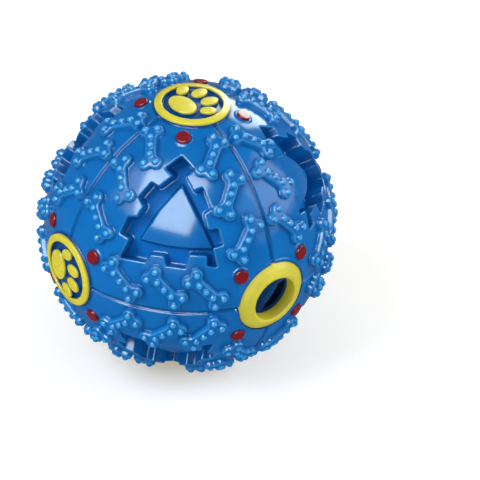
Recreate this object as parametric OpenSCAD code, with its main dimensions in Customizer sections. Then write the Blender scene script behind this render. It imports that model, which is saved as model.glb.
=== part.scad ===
// Treat dispensing ball. A soft hollow ball in two bonded halves, with raised bones, castellated recesses,
// paw badges, red studs and one round treat hole. A sound unit slides in a tube across its middle.
// The origin is the ball's centre, +Z runs through the top badge and -Y through the treat hole.

/* [Ball] */
// Radius of the smooth ball that carries the relief
ball_r = 57; // [55:0.5:62]
// Thickness of the shell's plain wall
wall = 4.5; // [4.2:0.1:5]
// Width of the three grooves that cross the ball
groove_w = 1.6; // [1:0.1:2.4]
// Depth of the three grooves
groove_d = 0.9; // [0.5:0.1:1.1]
// Thickness of the tongue that joins the two halves
tongue_t = 1; // [0.7:0.05:1.1]
// Length of the tongue across the joint
tongue_len = 1.6; // [1:0.1:3]

/* [Bones] */
// Distance between the knob centres at a bone's two ends
bone_len = 14; // [11:0.5:15]
// Distance between the two knob centres at one end
knob_gap = 4.4; // [3.6:0.1:5]
// Radius of a bone's knobs
knob_r = 2.3; // [1.8:0.1:2.6]
// Width of a bone's shaft
shaft_w = 4.2; // [3:0.1:4.4]
// Height of a bone above the ball
bone_h = 2.2; // [1.2:0.1:3]

/* [Recesses] */
// Depth of the castellated recesses
recess_d = 8; // [6.5:0.1:9]
// Depth of the smooth plateau inside a recess
plateau_drop = 5; // [4:0.1:6]
// Wall left behind a recess
recess_wall = 3; // [2:0.1:3.6]

/* [Studs] */
// Radius of the red studs
stud_r = 2.7; // [2:0.1:3.2]
// Height of a stud above the ball
stud_h = 1.3; // [0.8:0.1:2]
// Depth of a stud below the ball's surface
stud_root = 1; // [0.5:0.1:2]
// Gap between a stud and the treat hole's flange
stud_gap = 2; // [1.5:0.1:2.6]
// Width of the collar round a stud
collar_w = 0.8; // [0.5:0.1:1.2]
// Height of the collar above the ball
collar_h = 0.7; // [0.3:0.1:1]

/* [Badges] */
// Depth of a badge's domed floor below the ball
floor_drop = 0.6; // [0.4:0.1:1]
// Outer radius of a badge's ring
ring_r = 14.6; // [13.8:0.1:15]
// Width of a badge's ring
ring_w = 2.8; // [2:0.1:3]
// Height of a badge's ring above the ball
ring_h = 1.6; // [1.2:0.1:2]
// Thickness of the yellow ring
ring_t = 0.8; // [0.5:0.1:1.1]
// Height of the paw's flat top above the top of the ball
paw_h = 1; // [0.8:0.1:1.3]
// Thickness of the yellow paw pads
pad_t = 0.8; // [0.5:0.1:1]

/* [Treat hole] */
// Radius of the treat hole
throat_r = 9.3; // [8:0.1:10]
// Thickness of the grommet's barrel
barrel_t = 2.2; // [1.5:0.1:2.6]
// Outer radius of the grommet's flange
flange_r = 15; // [14.2:0.1:15.4]
// Depth of the flange's seat below the top of the ball
flange_drop = 3.7; // [3.2:0.1:3.9]
// Thickness of the flange at its outer edge
flange_t = 1.5; // [1:0.1:2]
// Rise of the flange from its edge to the rim of the hole
crown_h = 3.4; // [2.4:0.1:3.8]
// Width of the rounded rim at the hole
rim_w = 1; // [0.5:0.1:1.6]
// Height of the rounded rim at the hole
rim_h = 0.5; // [0.2:0.1:1]
// Length of the hole's straight wall
bore_len = 4.9; // [4:0.1:5.4]
// Width of the step that the grommet's barrel stands on
step_w = 0.6; // [0.4:0.1:1]

/* [Sound tube] */
// Room between a tube cap and the inside of the ball
end_room = 4.5; // [3.5:0.25:8]
// Outer radius of the sound tube
tube_r = 11; // [10.5:0.1:11.4]
// Wall of the sound tube
tube_t = 1.2; // [1:0.05:1.4]
// Wall of a cap's skirt
cap_t = 1.2; // [0.9:0.1:1.3]
// Thickness of a cap's end plate
plate_t = 1.6; // [1:0.1:2.4]
// Length of a cap's skirt over the tube
skirt_len = 6.4; // [4:0.1:9]
// Radius of the vents in a cap
vent_r = 1.1; // [0.8:0.05:1.3]
// Distance of the vents from the tube's axis
vent_ring = 3; // [2.7:0.1:3.4]
// Number of vents in a cap
vents = 5; // [3:1:5]
// Thickness of the foam bumpers
bumper_t = 3; // [2:0.1:4]
// Radius of the hole in a bumper
bumper_hole_r = 5; // [4.6:0.1:6]
// Wall of the sockets that hold the caps
socket_t = 2; // [1.4:0.1:2.4]
// Length of a socket over its cap
socket_len = 5; // [3:0.5:6]
// Width of the air notch in a socket
notch_w = 6; // [3:0.5:8]
// Thickness of the ribs a cap rests on
rib_t = 1.6; // [1:0.1:2.4]

/* [Sliding reed unit] */
// Radius of the slider's body
slider_r = 9.2; // [8.9:0.1:9.4]
// Length of the slider's body
slider_len = 34; // [33:1:46]
// Gap at each end of the slider's travel
stop_gap = 0.3; // [0.1:0.05:0.6]
// Radius of the steel weight
weight_r = 7; // [6.2:0.1:7.1]
// Length of the steel weight
weight_len = 20; // [12:0.5:20]
// Radius of the air passage through the slider
air_r = 3; // [2:0.1:3.4]
// Thickness of the ring that keeps the weight in
retainer_t = 1.5; // [1:0.1:2.5]
// Depth of the reed chamber at the slider's top
reed_room = 6; // [5.6:0.1:8]
// Thickness of the reed plate
reed_plate_t = 2; // [1.2:0.1:2.4]
// Thickness of the reed's tongue
reed_t = 0.3; // [0.2:0.05:0.4]
// Length of the reed's tongue
reed_len = 10.5; // [9:0.1:11]
// Width of the reed's tongue
reed_w = 3.4; // [2.6:0.1:4]
// Thickness of the clamp that holds the reed
clamp_t = 1.2; // [0.8:0.1:1.6]
// Thickness of the perforated reed cover
cover_t = 1.2; // [0.8:0.1:1.4]
// Thickness of a wiper seal
seal_t = 2; // [1.2:0.1:2.4]
// Distance of each wiper seal from the slider's end
seal_inset = 3; // [2:0.5:6]
// Radial depth of a wiper seal inside its groove
seal_depth = 0.9; // [0.6:0.05:1]

/* [Fits] */
// Gap round a bonded inlay or a pressed piece
fit_gap = 0.05; // [0.02:0.01:0.1]
// Gap between a wiper seal and the tube
wiper_gap = 0.1; // [0.05:0.01:0.2]

/* [Hidden] */
$fn = 48;

// Overrun of the cuts, so that no faces lie in one plane
over = 0.5;
span = ball_r + bone_h + over;

// Ball
cavity_r = ball_r - wall;
tongue_mid = cavity_r + (wall - groove_d) / 2 - fit_gap;
bone_r = ball_r + bone_h;
recess_r = ball_r - recess_d;
plateau_r = ball_r - plateau_drop;
pad_r = recess_r - recess_wall;
knob_sides = 10;
backing_angles = [0, 14, 28, 42];

// Badges
floor_r = ball_r - floor_drop;
ring_in_r = ring_r - ring_w;
ring_in_z = sqrt(pow(ball_r + ring_h, 2) - pow(ring_in_r, 2));
ring_out_z = sqrt(pow(ball_r + ring_h, 2) - pow(ring_r, 2));
base_z = sqrt(pow(cavity_r + wall / 2, 2) - pow(ring_r, 2));
boss_z = ball_r + paw_h - pad_t;
stud_angle = asin((max(ring_r, flange_r) + stud_gap + stud_r) / ball_r);

// Treat hole
barrel_r = throat_r + barrel_t;
flange_z = ball_r - flange_drop;
crown_z = flange_z + flange_t + crown_h;
barrel_end = crown_z - rim_h - bore_len;

// Sound tube
cap_face = cavity_r - end_room;
bore_r = tube_r - tube_t;
cap_r = tube_r + fit_gap + cap_t;
tube_end = cap_face - plate_t;
bumper_r = bore_r - fit_gap;
bumper_face = tube_end - bumper_t;
socket_r = cap_r + fit_gap;
notch_share = 0.7;
rib_reach_share = 0.45;

// Sliding reed unit
slider_z = -bumper_face + stop_gap;
slider_travel = 2 * (bumper_face - stop_gap) - slider_len;
pocket_r = weight_r + fit_gap;
weight_z = retainer_t;
pocket_top = retainer_t + weight_len;
reed_z = slider_len - reed_room;
seal_r = bore_r - wiper_gap;
groove_r = slider_r - seal_depth;
slot_len_share = 0.68;
slot_w_share = 0.62;
clamp_len_share = 0.24;
clamp_w_share = 1.3;
cover_holes = 5;
cover_hole_share = 0.17;
cover_ring_share = 0.6;

// Places of the bones in one octant, counted along the surface in shares of the ball's radius from the
// octant's middle, the first towards the treat hole and the second towards the top. The third is the turn.
bone_place_shares = [
    [0.216, 0.487, -102], [0.366, 0.242, -101], [0.517, -0.04, -109],
    [-0.207, 0.5, -79], [-0.36, 0.256, -71.5], [-0.498, -0.018, -62.5],
    [-0.29, -0.417, -46.5], [0.014, -0.427, -41], [0.287, -0.413, -38.5]
];

// Outline of a recess, seen along the octant's middle line, in shares of the ball's radius
recess_outline_shares = [
    [0.012, 0.452], [0.104, 0.375], [0.065, 0.321], [0.128, 0.233], [0.182, 0.265], [0.254, 0.132],
    [0.209, 0.091], [0.251, -0.005], [0.314, 0.016], [0.358, -0.091], [0.295, -0.119], [0.339, -0.242],
    [0.267, -0.242], [0.263, -0.175], [0.151, -0.179], [0.135, -0.274], [0.007, -0.272],
    [-0.014, -0.209], [-0.102, -0.212], [-0.126, -0.267], [-0.309, -0.26], [-0.254, -0.128],
    [-0.323, -0.1], [-0.282, 0.012], [-0.219, 0.021], [-0.186, 0.093], [-0.23, 0.147],
    [-0.156, 0.258], [-0.102, 0.233], [-0.025, 0.314], [-0.082, 0.358]
];

// Outline of the plateau inside a recess, in shares of the ball's radius
plateau_outline_shares = [
    [0.037, 0.261], [0.17, 0.063], [0.284, -0.123], [0.149, -0.14], [0, -0.144], [-0.188, -0.125],
    [-0.088, 0.079]
];

// Outline of the thickened wall behind a recess, in shares of the ball's radius
backing_outline_shares = [
    [-0.056, 0.535], [0.07, 0.535], [0.447, -0.105], [0.404, -0.333], [-0.377, -0.333], [-0.43, -0.105]
];

// Pads of a paw in shares of the ring's radius: place along the paw, place across, two radii, and a turn
paw_shares = [
    [-0.32, 0, 0.315, 0.45, 0],
    [0.09, 0.58, 0.215, 0.155, 28],
    [0.38, 0.23, 0.245, 0.17, 8],
    [0.38, -0.23, 0.245, 0.17, -8],
    [0.09, -0.58, 0.215, 0.155, -28]
];
oval_steps = 18;

function oval(a, b) = [for (i = [0:oval_steps - 1]) let (t = i * 360 / oval_steps) [a * cos(t), b * sin(t)]];
function turned(p, a) = [p.x * cos(a) - p.y * sin(a), p.x * sin(a) + p.y * cos(a)];

// Turns +Z to the middle of the octant at the left, front and top
module octant_frame() {
    rotate([acos(1 / sqrt(3)), 0, -45]) children();
}

// Repeats a shape of that octant in the four octants of one half, front (-1) or rear (1)
module octants(side) {
    for (mx = [0, 1], mz = [0, 1])
        mirror([mx, 0, 0]) mirror([0, max(side, 0), 0]) mirror([0, 0, mz]) octant_frame() children();
}

// Turns +Z to a place on the ball, with its X and Y turned by an angle
module at_place(p, turn) {
    a = atan2(p.y, p.x);
    rotate([0, 0, a]) rotate([0, norm(p) * 180 / PI, 0]) rotate([0, 0, turn - a]) children();
}

// Turns +Z to one of the six badge directions, with +X along the paw
module to_top() { children(); }
module to_bottom() { rotate([180, 0, 0]) children(); }
module to_front() { rotate([90, 0, 0]) children(); }
module to_rear() { rotate([-90, 0, 0]) children(); }
module to_left() { rotate([0, -90, 0]) rotate([0, 0, -90]) children(); }
module to_right() { rotate([0, 90, 0]) rotate([0, 0, -90]) children(); }

// A ring round Z between two radii and two heights
module ring(r_in, r_out, z0, z1) {
    translate([0, 0, z0]) difference() {
        cylinder(r = r_out, h = z1 - z0);
        translate([0, 0, -over]) cylinder(r = r_in, h = z1 - z0 + 2 * over);
    }
}

// Bones, each a prism whose top bends with the ball along its length
module bone_outline() {
    half = bone_len / 2;
    flare = knob_r * 1.5;
    end = half + knob_r * 0.7;
    for (x = [-half, half], y = [-knob_gap / 2, knob_gap / 2])
        translate([x, y]) circle(r = knob_r, $fn = knob_sides);
    polygon([
        [-end, -knob_gap / 2], [-half, -knob_gap / 2], [flare - half, -shaft_w / 2], [half - flare, -shaft_w / 2],
        [half, -knob_gap / 2], [end, -knob_gap / 2], [end, knob_gap / 2], [half, knob_gap / 2],
        [half - flare, shaft_w / 2], [flare - half, shaft_w / 2], [-half, knob_gap / 2], [-end, knob_gap / 2]
    ]);
}

module bone() {
    intersection() {
        translate([0, 0, cavity_r + wall / 2]) linear_extrude(height = span) bone_outline();
        rotate([90, 0, 0]) cylinder(r = bone_r, h = span, center = true);
    }
}

module bones(side) {
    octants(side)
        for (b = bone_place_shares)
            at_place([b.x, b.y], b.z) bone();
}

// Recesses
module recess_cut() {
    difference() {
        linear_extrude(height = span) polygon(ball_r * recess_outline_shares);
        sphere(r = recess_r);
        intersection() {
            linear_extrude(height = span) polygon(ball_r * plateau_outline_shares);
            sphere(r = plateau_r);
        }
    }
}

module recess_backing() {
    intersection() {
        linear_extrude(height = ball_r) polygon(ball_r * backing_outline_shares);
        sphere(r = cavity_r + wall / 2);
        rotate_extrude() polygon(concat(
            [for (a = backing_angles) pad_r * [sin(a), cos(a)]],
            [[ball_r, pad_r * cos(max(backing_angles))], [ball_r, ball_r], [0, ball_r]]
        ));
    }
}

// Studs stand between each badge and each octant's middle
module stud_places(side) {
    for (mx = [0, 1], mz = [0, 1])
        mirror([mx, 0, 0]) mirror([0, max(side, 0), 0]) mirror([0, 0, mz]) {
            rotate([0, 0, -135]) rotate([0, stud_angle, 0]) children();
            to_front() rotate([0, 0, 135]) rotate([0, stud_angle, 0]) children();
            to_left() rotate([0, 0, 45]) rotate([0, stud_angle, 0]) children();
        }
}

module stud() {
    translate([0, 0, ball_r - stud_root]) cylinder(r = stud_r, h = stud_root + stud_h);
}

module stud_collar() {
    translate([0, 0, cavity_r + wall / 2]) cylinder(r = stud_r + collar_w, h = wall / 2 + collar_h);
}

module stud_pocket() {
    translate([0, 0, ball_r - stud_root]) cylinder(r = stud_r + fit_gap, h = span);
}

// Badges
module paw_pads() {
    for (p = paw_shares) {
        at = [p[0], p[1]] * ring_r;
        size = [p[2], p[3]] * ring_r;
        translate(at) polygon([for (q = oval(size.x, size.y)) turned(q, p[4])]);
    }
}

// Leaves the badge's domed floor
module badge_floor_cut() {
    difference() {
        translate([0, 0, base_z]) cylinder(r = ring_r, h = span);
        sphere(r = floor_r);
    }
}

// The rib under the ring and the bosses under the pads
module badge_relief() {
    rotate_extrude() polygon([
        [ring_in_r, base_z], [ring_r, base_z], [ring_r, ring_out_z - ring_t], [ring_in_r, ring_in_z - ring_t]
    ]);
    translate([0, 0, base_z]) linear_extrude(height = boss_z - base_z) paw_pads();
}

// The ring's top slopes outwards with the ball
module badge_ring() {
    color("khaki") rotate_extrude() polygon([
        [ring_in_r, ring_in_z - ring_t], [ring_r, ring_out_z - ring_t], [ring_r, ring_out_z], [ring_in_r, ring_in_z]
    ]);
}

module badge_paw() {
    color("khaki") translate([0, 0, boss_z]) linear_extrude(height = pad_t) paw_pads();
}

// Treat hole
module throat_cut() {
    cylinder(r = throat_r + step_w, h = span);
    translate([0, 0, barrel_end - fit_gap]) cylinder(r = barrel_r + fit_gap, h = span);
    translate([0, 0, flange_z]) cylinder(r = flange_r + fit_gap, h = span);
}

// The grommet's conical flange rises to a rounded rim round the hole
module throat_grommet() {
    color("khaki") to_front() rotate_extrude() polygon([
        [throat_r, barrel_end], [barrel_r, barrel_end], [barrel_r, flange_z], [flange_r, flange_z],
        [flange_r, flange_z + flange_t], [throat_r + rim_w, crown_z], [throat_r, crown_z - rim_h]
    ]);
}

// Sockets for the sound tube's caps
module socket() {
    intersection() {
        union() {
            ring(socket_r, socket_r + socket_t, cap_face - socket_len, ball_r);
            for (a = [45, 135, 225, 315])
                rotate([0, 0, a]) translate([socket_r * rib_reach_share, -rib_t / 2, cap_face])
                    cube([socket_r * (1 - rib_reach_share) + over, rib_t, ball_r - cap_face]);
        }
        sphere(r = cavity_r + wall / 4);
    }
}

// Keeps the backings of the recesses clear of the tube and its caps
module tube_room() {
    cylinder(r = socket_r, h = 2 * cap_face, center = true);
}

module socket_notch() {
    h = (cavity_r - cap_face) * notch_share;
    translate([-notch_w / 2, -span, cap_face + fit_gap]) cube([notch_w, 2 * span, h]);
}

// Groove round the ball in the plane square to Z
module groove_ring() {
    rotate_extrude() translate([ball_r - groove_d, -groove_w / 2]) square([groove_d + over, groove_w]);
}

// The three grooves, which end under the badges' rings
module grooves() {
    difference() {
        union() {
            groove_ring();
            rotate([90, 0, 0]) groove_ring();
            rotate([0, 90, 0]) groove_ring();
        }
        badge_middle();
        rotate([90, 0, 0]) badge_middle();
        rotate([0, 90, 0]) badge_middle();
    }
}

module badge_middle() {
    cylinder(r = ring_r - ring_w / 2, h = 2 * span, center = true);
}

// The tongue round the joint, square to Y
module joint_ring(gap, len) {
    rotate([-90, 0, 0]) translate([0, 0, -len])
        ring(tongue_mid - tongue_t / 2 - gap, tongue_mid + tongue_t / 2 + gap, 0, len + over);
}

module half_box(side) {
    translate([-span, side > 0 ? 0 : -span, -span]) cube([2 * span, span, 2 * span]);
}

// One half's moulded wall without its badges' relief
module half_wall(side) {
    difference() {
        union() {
            difference() {
                sphere(r = ball_r);
                sphere(r = cavity_r);
            }
            octants(side) recess_backing();
            bones(side);
            stud_places(side) stud_collar();
        }
        grooves();
        tube_room();
        octants(side) recess_cut();
        stud_places(side) stud_pocket();
        to_top() badge_floor_cut();
        to_bottom() badge_floor_cut();
        to_left() badge_floor_cut();
        to_right() badge_floor_cut();
    }
}

// What is added to a half after its grooves and floors are cut
module half_relief() {
    to_top() badge_relief();
    to_bottom() badge_relief();
    to_left() badge_relief();
    to_right() badge_relief();
    difference() {
        union() {
            to_top() socket();
            to_bottom() socket();
        }
        to_top() socket_notch();
        to_bottom() socket_notch();
    }
}

module shell_half(side) {
    intersection() {
        union() {
            half_wall(side);
            half_relief();
        }
        half_box(side);
    }
}

module front_shell() {
    color("dodgerblue") difference() {
        shell_half(-1);
        to_front() throat_cut();
        joint_ring(fit_gap, tongue_len + 2 * fit_gap);
    }
}

module rear_shell() {
    color("dodgerblue") union() {
        difference() {
            shell_half(1);
            to_rear() badge_floor_cut();
        }
        to_rear() badge_relief();
        joint_ring(0, tongue_len);
    }
}

module top_badge_ring() { to_top() badge_ring(); }
module bottom_badge_ring() { to_bottom() badge_ring(); }
module left_badge_ring() { to_left() badge_ring(); }
module right_badge_ring() { to_right() badge_ring(); }
module rear_badge_ring() { to_rear() badge_ring(); }
module top_badge_paw() { to_top() badge_paw(); }
module bottom_badge_paw() { to_bottom() badge_paw(); }
module left_badge_paw() { to_left() badge_paw(); }
module right_badge_paw() { to_right() badge_paw(); }
module rear_badge_paw() { to_rear() badge_paw(); }

module front_studs() { color("firebrick") stud_places(-1) stud(); }
module rear_studs() { color("firebrick") stud_places(1) stud(); }

// Sound tube with a vented cap and a foam bumper at each end
module sound_tube() {
    color("gainsboro") ring(bore_r, tube_r, -tube_end, tube_end);
}

module tube_cap() {
    color("white") {
        difference() {
            translate([0, 0, tube_end]) cylinder(r = cap_r, h = plate_t);
            for (i = [0:vents - 1])
                rotate([0, 0, i * 360 / vents]) translate([vent_ring, 0, tube_end - over])
                    cylinder(r = vent_r, h = plate_t + 2 * over);
        }
        ring(tube_r + fit_gap, cap_r, tube_end - skirt_len, tube_end);
    }
}

module top_tube_cap() { to_top() tube_cap(); }
module bottom_tube_cap() { to_bottom() tube_cap(); }

module bumper() {
    color("dimgray") ring(bumper_hole_r, bumper_r, bumper_face, tube_end);
}

module top_bumper() { to_top() bumper(); }
module bottom_bumper() { to_bottom() bumper(); }

// Sliding reed unit, drawn from its lower end up
module on_slider(z) {
    translate([0, 0, slider_z + z]) children();
}

module slider_body() {
    color("ivory") on_slider(0) difference() {
        cylinder(r = slider_r, h = slider_len);
        translate([0, 0, -over]) cylinder(r = pocket_r, h = pocket_top + over);
        translate([0, 0, -over]) cylinder(r = air_r, h = slider_len + 2 * over);
        translate([0, 0, reed_z]) cylinder(r = pocket_r, h = reed_room + over);
        wiper_groove(seal_inset);
        wiper_groove(slider_len - seal_inset - seal_t);
    }
}

module wiper_groove(z) {
    ring(groove_r, slider_r + over, z - fit_gap, z + seal_t + fit_gap);
}

module wiper_seal(z) {
    color("black") on_slider(0) ring(groove_r + fit_gap, seal_r, z, z + seal_t);
}

module lower_wiper_seal() { wiper_seal(seal_inset); }
module upper_wiper_seal() { wiper_seal(slider_len - seal_inset - seal_t); }

module slider_weight() {
    color("lightslategray") on_slider(0) ring(air_r, weight_r, weight_z, pocket_top);
}

module weight_retainer() {
    color("ivory") on_slider(0) ring(air_r, weight_r, 0, retainer_t);
}

// The reed's tongue lies over a slot in its plate, held at one end by the clamp
module reed_plate() {
    slot = [reed_len * slot_len_share, reed_w * slot_w_share, reed_plate_t + 2 * over];
    color("tan") on_slider(reed_z) difference() {
        cylinder(r = weight_r, h = reed_plate_t);
        translate([reed_len / 2 - slot.x - over, -slot.y / 2, -over]) cube(slot);
    }
}

module reed_tongue() {
    color("gold") on_slider(reed_z + reed_plate_t)
        translate([-reed_len / 2, -reed_w / 2, 0]) cube([reed_len, reed_w, reed_t]);
}

module reed_clamp() {
    size = [reed_len * clamp_len_share, reed_w * clamp_w_share, clamp_t];
    color("tan") on_slider(reed_z + reed_plate_t + reed_t)
        translate([-reed_len / 2, -size.y / 2, 0]) cube(size);
}

module reed_cover() {
    color("ivory") on_slider(slider_len - cover_t) difference() {
        cylinder(r = weight_r, h = cover_t);
        for (i = [0:cover_holes - 1])
            rotate([0, 0, i * 360 / cover_holes])
                translate([weight_r * cover_ring_share, 0, -over])
                    cylinder(r = weight_r * cover_hole_share, h = cover_t + 2 * over);
    }
}

front_shell();
rear_shell();
throat_grommet();
top_badge_ring();
bottom_badge_ring();
left_badge_ring();
right_badge_ring();
rear_badge_ring();
top_badge_paw();
bottom_badge_paw();
left_badge_paw();
right_badge_paw();
rear_badge_paw();
front_studs();
rear_studs();
sound_tube();
top_tube_cap();
bottom_tube_cap();
top_bumper();
bottom_bumper();
slider_body();
slider_weight();
weight_retainer();
reed_plate();
reed_tongue();
reed_clamp();
reed_cover();
upper_wiper_seal();
lower_wiper_seal();
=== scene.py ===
"""Looks of a treat dispensing ball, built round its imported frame.

Sizes are in millimetres until a mesh is made.
"""
import math
from collections import namedtuple

import bpy
import numpy as np
from mathutils import Matrix, Vector
from mathutils.geometry import delaunay_2d_cdt


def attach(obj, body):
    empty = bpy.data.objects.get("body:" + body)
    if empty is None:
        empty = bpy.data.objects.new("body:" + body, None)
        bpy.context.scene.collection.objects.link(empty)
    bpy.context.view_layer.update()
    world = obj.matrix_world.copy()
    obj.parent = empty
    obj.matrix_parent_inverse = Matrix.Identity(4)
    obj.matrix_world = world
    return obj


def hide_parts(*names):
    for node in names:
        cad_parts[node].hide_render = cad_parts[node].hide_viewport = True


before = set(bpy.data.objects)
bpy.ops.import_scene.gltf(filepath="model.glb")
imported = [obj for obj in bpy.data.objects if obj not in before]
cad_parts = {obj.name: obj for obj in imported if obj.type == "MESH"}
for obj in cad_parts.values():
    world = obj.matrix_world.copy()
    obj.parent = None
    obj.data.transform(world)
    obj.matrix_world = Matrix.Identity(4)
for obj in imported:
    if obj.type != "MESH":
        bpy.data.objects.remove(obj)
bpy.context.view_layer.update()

MM = 0.001

# Ball
BALL_R = 57.0
CAVITY_R = 52.5
GROOVE_D = 0.9
GROOVE_FLAT, GROOVE_SIDE = 0.5, 0.7
GUARD = 0.12

# Bones: the outline's knobs, shaft and fillets, the heights, and how they end beside a groove
KNOB_X, KNOB_Y, KNOB_R = 7.0, 2.2, 2.3
SHAFT_HALF, FLARE_R, NOTCH_R = 2.1, 2.0, 1.5
BONE_H, BONE_FOOT, BONE_ROUND = 2.2, 0.3, 0.6
BEAD_R, BEAD_RISE, BEAD_STEP, BEAD_BLEND = 1.25, 1.15, 3.6, 0.1
BONE_REACH = 12.0
BONE_CUT, BONE_CUT_FADE, LAND_GAP = 1.0, 0.5, 1.3

# Recesses, and the thicker wall behind them, which leaves room for the sound tube
RECESS_D, PLATEAU_D = 8.0, 5.0
EDGE_R, DRAFT, PLATEAU_DRAFT = 0.7, 0.6, 0.3
TOOTH_R, PLATEAU_TOOTH_R = 0.6, 0.3
BACKING_R, BACKING_BLEND, TUBE_ROOM_R = 46.0, 1.5, 12.6

# Studs, their distance from the axis through a corner of the octant, and their collars
STUD_OFF = 19.7
STUD_ANGLE = math.asin(STUD_OFF / BALL_R)
STUD_R, STUD_TOP, STUD_EDGE, STUD_ROOT = 2.7, 1.3, 0.32, 0.9
STUD_CROWN_SHARE, STUD_CROWN_SIDE, STUD_CROWN = 0.6, 0.05, 0.08
COLLAR_H, COLLAR_R, COLLAR_FOOT = 0.4, 3.1, 3.9

# Badges and treat hole
CORNER_CUT = 13.4
RING_R, RING_W, RING_T = 14.6, 2.8, 0.8
BASE_IN_R, FLOOR_R, RING_TOP_R = 52.45, 56.4, 58.6
BASE_RIM_Z, BASE_NECK_R, BASE_NECK_Z, BASE_EDGE_R, BASE_DOME_R = 53.6, 13.4, 51.2, 13.0, 12.4
BOSS_Z, PAW_Z, PAW_CROWN = 57.2, 58.0, 0.12
INLAY_EDGE, FLOOR_EDGE, SHARP_EDGE = 0.3, 0.4, 0.05
RING_CROWN, RING_CROWN_ROUND = 0.08, 1.5
THROAT_R, BARREL_R, BARREL_Z, SLEEVE_Z = 9.3, 11.5, 52.8, 51.1
FLANGE_R, FLANGE_Z, FLANGE_EDGE_Z = 15.0, 53.3, 54.8
CONE_R, CONE_Z, CROWN_R, CROWN_Z, MOUTH_Z = 13.0, 56.7, 10.4, 58.2, 57.9
BARREL_EDGE, FLANGE_EDGE, CONE_ROUND, CROWN_ROUND, MOUTH_ROUND = 0.3, 0.4, 3.0, 0.6, 0.45
LIP_H, LIP_R, LIP_FOOT = 0.3, 15.9, 16.5
SEAT_R, SEAT_D, FOOT_R = 15.08, 1.9, 0.4
SEAT_NECK_R, SEAT_WIDE_R, SEAT_GAP, SLEEVE_GAP, SLEEVE_EDGE = 13.2, 14.2, 0.03, 0.15, 0.5

# Sockets of the sound tube
SOCKET_R, SOCKET_T, SOCKET_Z, CAP_Z, SOCKET_TOP = 12.3, 2.0, 43.0, 48.0, 51.0
SOCKET_EDGE, NOTCH_HALF = 0.3, math.radians(14)
RIB_FROM_R, RIB_INSET, RIB_HALF, RIB_OVER = 5.6, 0.3, 0.8, 0.5

# Spacing of the surface's points, and the least gaps between them on walls, rings and beads
LINE_STEP, FILL_STEP, BEAD_POINT_STEP, INNER_STEP = 0.36, 1.1, 0.26, 1.6
LOOP_STEP = LINE_STEP * 1.4
WALL_GAP, RING_GAP, BEAD_GAP, OFFSET_SLACK = 0.05, 0.06, 0.09, 0.04
# Rows of points across a groove, collar, lip, foot and bead, in shares of its width or radius,
# then round a quarter turn, a bone's shoulder and a pad's edge, and over a pad's top
GROOVE_ROWS = (0.0, 0.2, 0.4, 0.6, 0.8, 1.0, 1.2)
COLLAR_ROWS = (-0.2, 0, 0.2, 0.4, 0.6, 0.8, 1, 1.2)
LIP_ROWS = (-0.2, 0, 0.25, 0.5, 0.75, 1, 1.2)
FOOT_ROWS = (-0.3, 0, 0.1, 0.3, 0.6, 1, 1.3, 2.2)
BEAD_ROWS = (0, 0.25, 0.48, 0.68, 0.82, 0.9, 0.98, 1.1, 1.25)
QUARTER_ROWS = np.radians([0, 30, 60, 90])
SHOULDER_ROWS = np.radians([15, 30, 45, 60, 75, 90])
PAD_EDGE_ROWS = np.radians([20, 40, 60, 80, 90])
PAD_CROWN_ROWS = (0.8, 0.55, 0.3)

# Shade round bones and beads, and light on edges: where each band starts, peaks and ends
BONE_SHADE, BEAD_SHADE = (-1.1, -0.3, 0.05), (-0.02, 0.06, 0.35)
BONE_LIGHT, RIM_LIGHT = (-0.05, 0.2, 0.75), (0.0, 0.3, 1.0)
# Shade in grooves, round studs and round rings: how far it reaches and how softly it ends
STUD_SHADE_W, STUD_SHADE_FADE = 0.3, 0.35
RING_SHADE_W, RING_SHADE_FADE = 1.3, 0.8
GROOVE_SHADE_FADE = 0.3
BONE_SHADE_SHARE, GROOVE_SHADE_SHARE = 0.8, 0.7

# The octant's own axes as rows: towards the treat hole, up, and out through its middle
OCTANT = np.array([[1, -1, 0], [1, 1, 2], [-1, -1, 1]]) / np.sqrt([[2], [6], [3]])
CORNERS = np.array([[-1, 0, 0], [0, -1, 0], [0, 0, 1]])

# Places of the bones in shares of the ball's radius along the surface, and their turns in degrees
BONE_PLACE_SHARES = [
    (0.216, 0.487, -102), (0.366, 0.242, -101), (0.517, -0.04, -109),
    (-0.207, 0.5, -79), (-0.36, 0.256, -71.5), (-0.498, -0.018, -62.5),
    (-0.29, -0.417, -46.5), (0.014, -0.427, -41), (0.287, -0.413, -38.5),
]
# Outlines seen along the octant's middle line, in shares of the ball's radius
RECESS_SHARES = [
    (0.012, 0.452), (0.104, 0.375), (0.065, 0.321), (0.128, 0.233), (0.182, 0.265), (0.254, 0.132),
    (0.209, 0.091), (0.251, -0.005), (0.314, 0.016), (0.358, -0.091), (0.295, -0.119), (0.339, -0.242),
    (0.267, -0.242), (0.263, -0.175), (0.151, -0.179), (0.135, -0.274), (0.007, -0.272),
    (-0.014, -0.209), (-0.102, -0.212), (-0.126, -0.267), (-0.309, -0.26), (-0.254, -0.128),
    (-0.323, -0.1), (-0.282, 0.012), (-0.219, 0.021), (-0.186, 0.093), (-0.23, 0.147),
    (-0.156, 0.258), (-0.102, 0.233), (-0.025, 0.314), (-0.082, 0.358),
]
PLATEAU_SHARES = [
    (0.037, 0.261), (0.17, 0.063), (0.284, -0.123), (0.149, -0.14), (0, -0.144), (-0.188, -0.125),
    (-0.088, 0.079),
]
BACKING_SHARES = [
    (-0.056, 0.535), (0.07, 0.535), (0.447, -0.105), (0.404, -0.333), (-0.377, -0.333), (-0.43, -0.105),
]
# Pads of a paw in shares of the ring's radius: place along and across, two radii, and a turn in degrees
PAW_SHARES = [
    (-0.32, 0, 0.315, 0.45, 0), (0.09, 0.58, 0.215, 0.155, 28), (0.38, 0.23, 0.245, 0.17, 8),
    (0.38, -0.23, 0.245, 0.17, -8), (0.09, -0.58, 0.215, 0.155, -28),
]

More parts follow.
